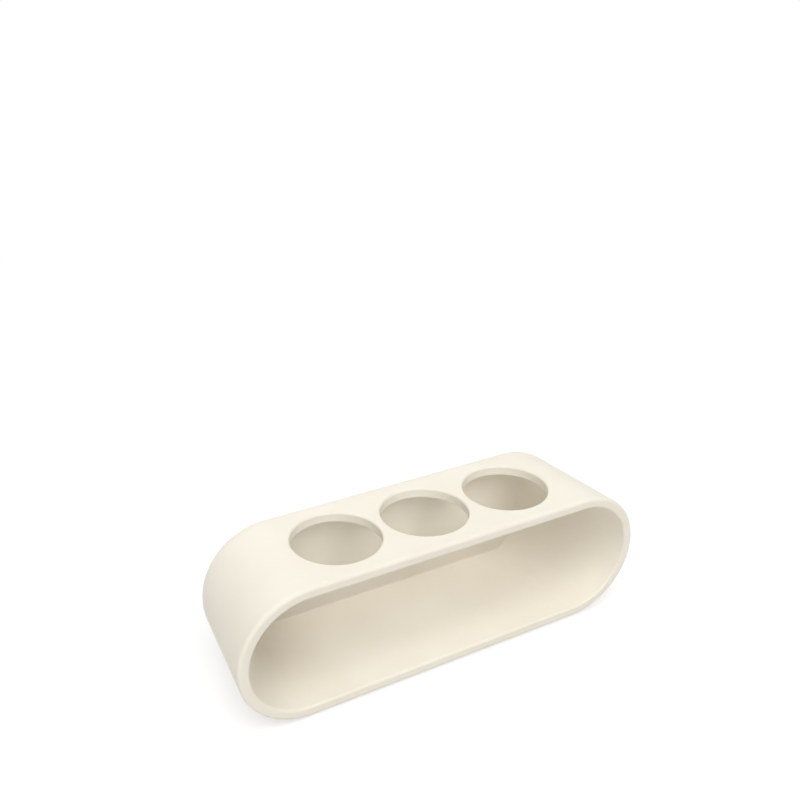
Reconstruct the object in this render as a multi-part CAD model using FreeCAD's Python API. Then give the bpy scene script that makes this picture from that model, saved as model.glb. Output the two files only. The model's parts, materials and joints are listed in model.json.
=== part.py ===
"""Free-standing toothbrush holder: a stadium-shaped tub on its side, with round holes along its flat top.

Frame: +X along the holder's length, +Y from the open front to the closed back, +Z up.
The origin is on the counter, under the middle of the holder. Sizes are in millimetres.
"""
import FreeCAD, Part
import os
from math import pi

# Holes for the brush handles and the flat top around them
HOLE_COUNT = 3
HOLE_DIAMETER = 36.0
HOLE_BRIDGE = 4.0
HOLE_END_MARGIN = 5.3
HOLE_FRONT_MARGIN = 7.2
HOLE_BACK_MARGIN = 3.4
HOLE_EDGE_RADIUS = 0.8

# Tub: each end draws in by the taper from front to back
BODY_HEIGHT = 58.4
WALL = 4.5
END_TAPER = 6.2
BACK_EDGE_RADIUS = 11.0
RIM_OUTER_RADIUS = 1.5
RIM_INNER_RADIUS = 1.0
RIM_FLAT = 0.6

# Cavity: its half-round ends flatten to this share of their bulge at the back wall
BACK_BULGE_SHARE = 0.5
CAVITY_CORNER_RADIUS = 0.8

# Non-slip pads under the tub
PAD_DIAMETER = 10.0
PAD_THICKNESS = 1.6
PAD_STANDOFF = 0.8
PAD_EDGE_RADIUS = 0.3
PAD_CLEARANCE = 0.1
PAD_END_INSET = 8.0
PAD_FRONT_INSET = 5.0
PAD_BACK_INSET = 1.5

# The tub stands on the pads, and its ends are half round
BODY_BOTTOM = PAD_STANDOFF
BODY_TOP = BODY_BOTTOM + BODY_HEIGHT
END_RADIUS = BODY_HEIGHT / 2
AXIS_HEIGHT = BODY_BOTTOM + END_RADIUS
CAVITY_RADIUS = END_RADIUS - WALL

# Roundings leave a flat on the rim and never take more than the wall, bridge or height allows
RIM_ROOM = WALL - RIM_FLAT
RIM_OUTER_ROUNDING = min(RIM_OUTER_RADIUS, RIM_ROOM / 2)
RIM_INNER_ROUNDING = min(RIM_INNER_RADIUS, RIM_ROOM - RIM_OUTER_ROUNDING)
HOLE_ROUNDING = min(HOLE_EDGE_RADIUS, WALL / 3, HOLE_BRIDGE / 3)
BACK_ROUNDING = min(BACK_EDGE_RADIUS, END_RADIUS / 2, 2.5 * WALL)
CORNER_ROUNDING = min(CAVITY_CORNER_RADIUS, CAVITY_RADIUS / 8)

# The tub's length and depth follow from the row of holes
HOLE_RADIUS = HOLE_DIAMETER / 2
HOLE_PITCH = HOLE_DIAMETER + HOLE_BRIDGE
FLAT_LENGTH = (HOLE_COUNT - 1) * HOLE_PITCH + HOLE_DIAMETER + 2 * HOLE_END_MARGIN
BODY_DEPTH = HOLE_FRONT_MARGIN + HOLE_DIAMETER + HOLE_BACK_MARGIN + BACK_ROUNDING
FRONT = -BODY_DEPTH / 2
BACK = BODY_DEPTH / 2
HOLE_Y = FRONT + HOLE_FRONT_MARGIN + HOLE_RADIUS

# Pad seats
RECESS_RADIUS = PAD_DIAMETER / 2 + PAD_CLEARANCE
RECESS_DEPTH = PAD_THICKNESS - PAD_STANDOFF
PAD_X = FLAT_LENGTH / 2 - END_TAPER - PAD_END_INSET - RECESS_RADIUS
PAD_FRONT_Y = FRONT + PAD_FRONT_INSET + RECESS_RADIUS
PAD_REAR_Y = BACK - BACK_ROUNDING - PAD_BACK_INSET - RECESS_RADIUS
PAD_PLACES = {
    "foot_front_left": (-PAD_X, PAD_FRONT_Y),
    "foot_front_right": (PAD_X, PAD_FRONT_Y),
    "foot_rear_left": (-PAD_X, PAD_REAR_Y),
    "foot_rear_right": (PAD_X, PAD_REAR_Y),
}

UP = FreeCAD.Vector(0, 0, 1)
TOLERANCE = 1e-4


def point(x, y, z):
    return FreeCAD.Vector(x, y, z)


def half_length(y):
    """Half the length of the flat band at this depth."""
    return FLAT_LENGTH / 2 - END_TAPER * (y - FRONT) / BODY_DEPTH


def rounded_end(y, side, radius, bulge):
    """Right (side 1) or left (side -1) end of a stadium, standing out from the flat band by its bulge."""
    centre = point(side * half_length(y), y, AXIS_HEIGHT)
    top = centre + UP * radius
    tip = centre + point(side * bulge, 0, 0)
    if bulge < radius:
        return Part.ArcOfEllipse(Part.Ellipse(top, tip, centre), 0, pi)
    return Part.Arc(top, tip, centre - UP * radius)


def stadium(y, radius, bulge):
    """Upright closed outline at this depth: a flat band, twice the radius in height, with rounded ends."""
    half = half_length(y)
    low = AXIS_HEIGHT - radius
    high = AXIS_HEIGHT + radius
    floor = Part.LineSegment(point(-half, y, low), point(half, y, low))
    roof = Part.LineSegment(point(half, y, high), point(-half, y, high))
    sides = (floor, rounded_end(y, 1, radius, bulge), roof, rounded_end(y, -1, radius, bulge))
    return Part.Wire([side.toShape() for side in sides])


def edges_at_depth(shape, y):
    return [edge for edge in shape.Edges if all(abs(spot.y - y) < TOLERANCE for spot in edge.discretize(5))]


def tub(radius, back, back_bulge, rounding):
    """Solid from the front to this depth, with half-round ends in front and rounded edges at the back."""
    shape = Part.makeLoft([stadium(FRONT, radius, radius), stadium(back, radius, back_bulge)], True, True)
    return shape.makeFillet(rounding, edges_at_depth(shape, back))


def brush_hole_centres():
    """X of each hole's axis, evenly spaced about the middle."""
    first = -(HOLE_COUNT - 1) * HOLE_PITCH / 2
    return [first + index * HOLE_PITCH for index in range(HOLE_COUNT)]


def brush_hole(x):
    """Cutter for one hole: through the roof, ending inside the cavity."""
    return Part.makeCylinder(HOLE_RADIUS, 2 * WALL, point(x, HOLE_Y, BODY_TOP - 1.5 * WALL), UP)


def pad_recess(x, y):
    """Cutter for one pad's seat in the underside."""
    return Part.makeCylinder(RECESS_RADIUS, RECESS_DEPTH, point(x, y, BODY_BOTTOM), UP)


def distance_from_band(spot):
    """Distance of a point of the rim from the line that joins the centres of its two half-round ends."""
    past_end = max(abs(spot.x) - FLAT_LENGTH / 2, 0)
    return (past_end**2 + (spot.z - AXIS_HEIGHT) ** 2) ** 0.5


def rim_edges(shape, radius):
    """Edges of the front opening that lie on the stadium of this radius."""
    found = []
    for edge in edges_at_depth(shape, FRONT):
        if all(abs(distance_from_band(spot) - radius) < TOLERANCE for spot in edge.discretize(5)):
            found.append(edge)
    return found


def hole_edges(shape):
    """Upper and lower edges of the brush holes."""
    found = []
    for x in brush_hole_centres():
        for level in (BODY_TOP, BODY_TOP - WALL):
            centre = point(x, HOLE_Y, level)
            for edge in shape.Edges:
                spots = edge.discretize(5)
                on_level = all(abs(spot.z - level) < TOLERANCE for spot in spots)
                if on_level and all(abs((spot - centre).Length - HOLE_RADIUS) < TOLERANCE for spot in spots):
                    found.append(edge)
    return found


def holder_body():
    """One-piece tub with brush holes, a rounded rim and pad seats."""
    outside = tub(END_RADIUS, BACK, END_RADIUS, BACK_ROUNDING)
    cavity = tub(CAVITY_RADIUS, BACK - WALL, CAVITY_RADIUS * BACK_BULGE_SHARE, CORNER_ROUNDING)
    holes = [brush_hole(x) for x in brush_hole_centres()]
    recesses = [pad_recess(x, y) for x, y in PAD_PLACES.values()]
    body = outside.cut(cavity).cut(holes + recesses)
    body = body.makeFillet(HOLE_ROUNDING, hole_edges(body))
    body = body.makeFillet(RIM_OUTER_ROUNDING, rim_edges(body, END_RADIUS))
    body = body.makeFillet(RIM_INNER_ROUNDING, rim_edges(body, CAVITY_RADIUS))
    return body


def foot_pad(x, y):
    """Round pad, seated against the top of its recess, with a softened lower edge."""
    pad = Part.makeCylinder(PAD_DIAMETER / 2, PAD_THICKNESS, point(x, y, 0), UP)
    lower_edge = [edge for edge in pad.Edges if abs(edge.BoundBox.ZMax) < TOLERANCE]
    return pad.makeFillet(min(PAD_EDGE_RADIUS, PAD_STANDOFF / 2), lower_edge)


os.makedirs("parts", exist_ok=True)
pieces = {"holder_body": holder_body()}
for name, (pad_x, pad_y) in PAD_PLACES.items():
    pieces[name] = foot_pad(pad_x, pad_y)
for name, shape in pieces.items():
    shape.exportStep(f"parts/{name}.step")
    box = shape.optimalBoundingBox()
    size = f"{box.XLength:.2f} x {box.YLength:.2f} x {box.ZLength:.2f} mm"
    print(name, size, f"{shape.Volume:.1f} mm3", "valid" if shape.isValid() else "NOT VALID")
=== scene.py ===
import json
import math

import bpy
from mathutils import Matrix, Vector

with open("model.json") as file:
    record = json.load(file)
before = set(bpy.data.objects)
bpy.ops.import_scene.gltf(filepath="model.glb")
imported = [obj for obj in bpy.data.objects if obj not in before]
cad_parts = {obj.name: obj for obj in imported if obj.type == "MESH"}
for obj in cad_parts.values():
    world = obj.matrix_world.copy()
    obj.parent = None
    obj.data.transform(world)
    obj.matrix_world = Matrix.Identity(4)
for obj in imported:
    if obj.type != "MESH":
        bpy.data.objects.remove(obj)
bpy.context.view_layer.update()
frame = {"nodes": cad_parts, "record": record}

MILLIMETRE = 0.001
WHITE = (1.0, 1.0, 1.0)

# Camera, from the photograph: place in metres, angles in degrees, lens in its pixels
IMAGE_SIZE = 800
SENSOR_WIDTH = 36.0
CAMERA_PLACE = (-0.19019, -0.30014, 0.27618)
CAMERA_AZIMUTH = -30.918
CAMERA_ELEVATION = 25.429
CAMERA_ROLL = 1.182
FOCAL_PIXELS = 1017.35
NEAREST_SEEN = 10 * MILLIMETRE

# Cream plastic of the body: two linear colours in soft clouds, over a slow wave and a fine grain
CREAM = (0.815, 0.770, 0.674)
CREAM_WARM = (0.790, 0.740, 0.640)
CREAM_SPECULAR = 0.40
CLOUD_SIZE = 26 * MILLIMETRE
WAVE_SIZE = 3.5 * MILLIMETRE
WAVE_HEIGHT = 0.10 * MILLIMETRE
WAVE_STRENGTH = 0.5
GRAIN_SIZE = 0.45 * MILLIMETRE
GRAIN_HEIGHT = 0.04 * MILLIMETRE
GRAIN_STRENGTH = 0.6
GRAIN_RANGE = (0.3, 0.7)
GRAIN_ROUGHNESS = (0.46, 0.60)

# Silicone of the pads: two linear colours in small specks of dust, over a stipple
SILICONE = (0.55, 0.53, 0.49)
SILICONE_DARK = (0.45, 0.43, 0.40)
SILICONE_SPECULAR = 0.25
DUST_SIZE = 2.2 * MILLIMETRE
STIPPLE_SIZE = 0.25 * MILLIMETRE
STIPPLE_HEIGHT = 0.05 * MILLIMETRE
STIPPLE_STRENGTH = 0.7
STIPPLE_ROUGHNESS = (0.70, 0.90)

# Noise levels between which a finish turns from its first colour to its second
COLOUR_RANGE = (0.35, 0.70)

# Sky: bright overhead and dim near the floor, with the change between these elevations in degrees
SKY_BRIGHT = 0.90
SKY_DIM = 0.04
SKY_BRIGHT_FROM = 50.0
SKY_DIM_TO = 30.0

# Lamps: strength, azimuth and elevation of a key in front and weak fills on the left and behind
KEY = (1.95, -14.0, 56.0)
LEFT_FILL = (0.30, -85.0, 35.0)
BACK_FILL = (0.55, 172.0, 14.0)
LAMP_SPREAD = 50.0

# Floor: what it gives back to the object, and how the camera sees it near the object and further off
FLOOR_HALF_SIZE = 3.0
FLOOR_DROP = 0.2 * MILLIMETRE
FLOOR_COLOUR = (0.86, 0.85, 0.83)
FLOOR_SEEN = (0.45, 0.45, 0.445)
FLOOR_GLOW = 0.55
FLOOR_WHITE_GLOW = 1.0
FLOOR_SHADE_RADIUS = 0.35
FLOOR_WHITE_RADIUS = 0.60


class Nodes:
    """Short spelling for building a node tree."""

    def __init__(self, tree):
        self.tree = tree
        tree.nodes.clear()

    def add(self, kind, **settings):
        node = self.tree.nodes.new(kind)
        for name, value in settings.items():
            setattr(node, name, value)
        return node

    def link(self, source, target):
        self.tree.links.new(source, target)

    def object_place(self):
        """Place on the object, in metres."""
        return self.add("ShaderNodeTexCoord").outputs["Object"]

    def noise(self, coordinates, size, detail):
        """Noise whose features are about this many metres across."""
        node = self.add("ShaderNodeTexNoise")
        node.inputs["Scale"].default_value = 1 / size
        node.inputs["Detail"].default_value = detail
        self.link(coordinates, node.inputs["Vector"])
        return node.outputs["Fac"]

    def ramp(self, value, low, high):
        """Value stretched so that low becomes 0 and high becomes 1."""
        node = self.add("ShaderNodeMapRange")
        node.inputs["From Min"].default_value = low
        node.inputs["From Max"].default_value = high
        self.link(value, node.inputs["Value"])
        return node.outputs["Result"]

    def span(self, value, low, high):
        """Value from 0 to 1 turned into a number from low to high."""
        node = self.add("ShaderNodeMapRange")
        node.inputs["To Min"].default_value = low
        node.inputs["To Max"].default_value = high
        self.link(value, node.inputs["Value"])
        return node.outputs["Result"]

    def larger(self, first, second):
        node = self.add("ShaderNodeMath", operation="MAXIMUM")
        self.link(first, node.inputs[0])
        self.link(second, node.inputs[1])
        return node.outputs["Value"]

    def mix(self, share, first, second):
        """Colour between two fixed colours."""
        node = self.add("ShaderNodeMix", data_type="RGBA")
        node.inputs["A"].default_value = (*first, 1)
        node.inputs["B"].default_value = (*second, 1)
        self.link(share, node.inputs["Factor"])
        return node.outputs["Result"]

    def bump(self, height, distance, strength, below=None):
        """Surface normal for these heights, on top of the bump below where one is given."""
        node = self.add("ShaderNodeBump")
        node.inputs["Strength"].default_value = strength
        node.inputs["Distance"].default_value = distance
        self.link(height, node.inputs["Height"])
        if below is not None:
            self.link(below, node.inputs["Normal"])
        return node.outputs["Normal"]

    def plastic(self, colour, roughness, normal, specular):
        """Shader of a solid material, with its highlight's level set on the shader itself."""
        node = self.add("ShaderNodeBsdfPrincipled")
        node.inputs["Specular IOR Level"].default_value = specular
        self.link(colour, node.inputs["Base Color"])
        self.link(roughness, node.inputs["Roughness"])
        self.link(normal, node.inputs["Normal"])
        return node.outputs["BSDF"]

    def diffuse(self, colour):
        node = self.add("ShaderNodeBsdfDiffuse")
        node.inputs["Color"].default_value = (*colour, 1)
        return node.outputs["BSDF"]

    def glow(self, strength):
        """White light of this strength from the surface itself."""
        node = self.add("ShaderNodeEmission")
        node.inputs["Color"].default_value = (*WHITE, 1)
        node.inputs["Strength"].default_value = strength
        return node.outputs["Emission"]

    def sky(self, strength=None):
        """White light from the sky, plain white to the camera where no strength is given."""
        node = self.add("ShaderNodeBackground")
        node.inputs["Color"].default_value = (*WHITE, 1)
        if strength is not None:
            self.link(strength, node.inputs["Strength"])
        return node.outputs["Background"]

    def both(self, first, second):
        """Sum of two shaders."""
        node = self.add("ShaderNodeAddShader")
        self.link(first, node.inputs[0])
        self.link(second, node.inputs[1])
        return node.outputs["Shader"]

    def between(self, share, first, second):
        """First shader where the share is 0, turning into the second where it is 1."""
        node = self.add("ShaderNodeMixShader")
        self.link(share, node.inputs["Fac"])
        self.link(first, node.inputs[1])
        self.link(second, node.inputs[2])
        return node.outputs["Shader"]

    def seen_directly(self):
        """1 for rays from the camera and for those that it sees by reflection or through glass."""
        path = self.add("ShaderNodeLightPath")
        seen = self.larger(path.outputs["Is Camera Ray"], path.outputs["Is Glossy Ray"])
        return self.larger(seen, path.outputs["Is Transmission Ray"])

    def finish(self, kind, shader):
        """Output node of this kind that takes the shader as its surface."""
        self.link(shader, self.add(kind).inputs["Surface"])


def new_material(name):
    material = bpy.data.materials.new(name)
    material.use_nodes = True
    return material, Nodes(material.node_tree)


def satin_cream():
    """Satin cream plastic with faint warm clouds, a fine even grain and a slight orange-peel wave."""
    material, nodes = new_material("satin_cream")
    place = nodes.object_place()
    clouds = nodes.ramp(nodes.noise(place, CLOUD_SIZE, detail=3), *COLOUR_RANGE)
    wave = nodes.noise(place, WAVE_SIZE, detail=2)
    grain = nodes.noise(place, GRAIN_SIZE, detail=2)
    colour = nodes.mix(clouds, CREAM, CREAM_WARM)
    roughness = nodes.span(nodes.ramp(grain, *GRAIN_RANGE), *GRAIN_ROUGHNESS)
    waved = nodes.bump(wave, WAVE_HEIGHT, WAVE_STRENGTH)
    normal = nodes.bump(grain, GRAIN_HEIGHT, GRAIN_STRENGTH, waved)
    nodes.finish("ShaderNodeOutputMaterial", nodes.plastic(colour, roughness, normal, CREAM_SPECULAR))
    return material


def matt_silicone():
    """Matt warm grey silicone with a fine stipple and a little dust in its colour."""
    material, nodes = new_material("matt_silicone")
    place = nodes.object_place()
    dust = nodes.ramp(nodes.noise(place, DUST_SIZE, detail=4), *COLOUR_RANGE)
    stipple = nodes.noise(place, STIPPLE_SIZE, detail=2)
    colour = nodes.mix(dust, SILICONE, SILICONE_DARK)
    roughness = nodes.span(stipple, *STIPPLE_ROUGHNESS)
    normal = nodes.bump(stipple, STIPPLE_HEIGHT, STIPPLE_STRENGTH)
    nodes.finish("ShaderNodeOutputMaterial", nodes.plastic(colour, roughness, normal, SILICONE_SPECULAR))
    return material


def studio_floor_finish():
    """Pale floor that keeps the shadow near the object and is plain white further off."""
    material, nodes = new_material("studio_floor")
    distance = nodes.add("ShaderNodeVectorMath", operation="LENGTH")
    nodes.link(nodes.object_place(), distance.inputs[0])
    fade = nodes.ramp(distance.outputs["Value"], FLOOR_SHADE_RADIUS, FLOOR_WHITE_RADIUS)
    near = nodes.both(nodes.diffuse(FLOOR_SEEN), nodes.glow(FLOOR_GLOW))
    seen = nodes.between(fade, near, nodes.glow(FLOOR_WHITE_GLOW))
    surface = nodes.between(nodes.seen_directly(), nodes.diffuse(FLOOR_COLOUR), seen)
    nodes.finish("ShaderNodeOutputMaterial", surface)
    return material


def dress(node, material):
    """Gives a CAD node its finish through the object, so the mesh stays as it came."""
    piece = frame["nodes"][node]
    for entry in piece.material_slots:
        entry.link = "OBJECT"
        entry.material = material


def lay_floor():
    """Plain square floor, just under the pads."""
    mesh = bpy.data.meshes.new("studio_floor")
    half = FLOOR_HALF_SIZE
    corners = [(-half, -half, 0), (half, -half, 0), (half, half, 0), (-half, half, 0)]
    mesh.from_pydata(corners, [], [(0, 1, 2, 3)])
    mesh.materials.append(studio_floor_finish())
    floor = bpy.data.objects.new("studio_floor", mesh)
    floor.location.z = -FLOOR_DROP
    bpy.context.scene.collection.objects.link(floor)


def light_sky():
    """Soft light from above, with a white background behind the floor."""
    world = bpy.data.worlds.new("studio")
    world.use_nodes = True
    bpy.context.scene.world = world
    nodes = Nodes(world.node_tree)
    height = nodes.add("ShaderNodeSeparateXYZ")
    nodes.link(nodes.add("ShaderNodeTexCoord").outputs["Generated"], height.inputs["Vector"])
    edges = [math.sin(math.radians(elevation)) for elevation in (SKY_DIM_TO, SKY_BRIGHT_FROM)]
    strength = nodes.span(nodes.ramp(height.outputs["Z"], *edges), SKY_DIM, SKY_BRIGHT)
    surface = nodes.between(nodes.seen_directly(), nodes.sky(strength), nodes.sky())
    nodes.finish("ShaderNodeOutputWorld", surface)


def direction(azimuth, elevation):
    """Unit vector at these angles; azimuth 0 points to the front and grows to the right."""
    turn = math.radians(azimuth)
    rise = math.radians(elevation)
    level = math.cos(rise)
    return Vector((math.sin(turn) * level, -math.cos(turn) * level, math.sin(rise)))


def add_lamp(name, strength, azimuth, elevation):
    """Wide soft lamp, far off in this direction."""
    lamp = bpy.data.lights.new(name, "SUN")
    lamp.energy = strength
    lamp.angle = math.radians(LAMP_SPREAD)
    holder = bpy.data.objects.new(name, lamp)
    holder.rotation_euler = direction(azimuth, elevation).to_track_quat("Z", "Y").to_euler()
    bpy.context.scene.collection.objects.link(holder)


def set_camera():
    """Camera at the photograph's viewing angle."""
    lens = bpy.data.cameras.new("camera")
    lens.sensor_width = SENSOR_WIDTH
    lens.lens = FOCAL_PIXELS / IMAGE_SIZE * SENSOR_WIDTH
    lens.clip_start = NEAREST_SEEN
    backward = direction(CAMERA_AZIMUTH, CAMERA_ELEVATION)
    right = Vector((0, 0, 1)).cross(backward).normalized()
    up = backward.cross(right)
    roll = math.radians(CAMERA_ROLL)
    rolled_right = right * math.cos(roll) + up * math.sin(roll)
    rolled_up = up * math.cos(roll) - right * math.sin(roll)
    turn = Matrix((rolled_right, rolled_up, backward)).transposed().to_4x4()
    camera = bpy.data.objects.new("camera", lens)
    camera.matrix_world = Matrix.Translation(CAMERA_PLACE) @ turn
    bpy.context.scene.collection.objects.link(camera)
    bpy.context.scene.camera = camera


finishes = {"body": satin_cream(), "pad": matt_silicone()}
for subpart in frame["record"]["subparts"]:
    slot = subpart["material_slot"]
    dress(subpart["node"], finishes[slot])

lay_floor()
light_sky()
add_lamp("key", *KEY)
add_lamp("left_fill", *LEFT_FILL)
add_lamp("back_fill", *BACK_FILL)
set_camera()
bpy.context.scene.view_settings.view_transform = "Standard"
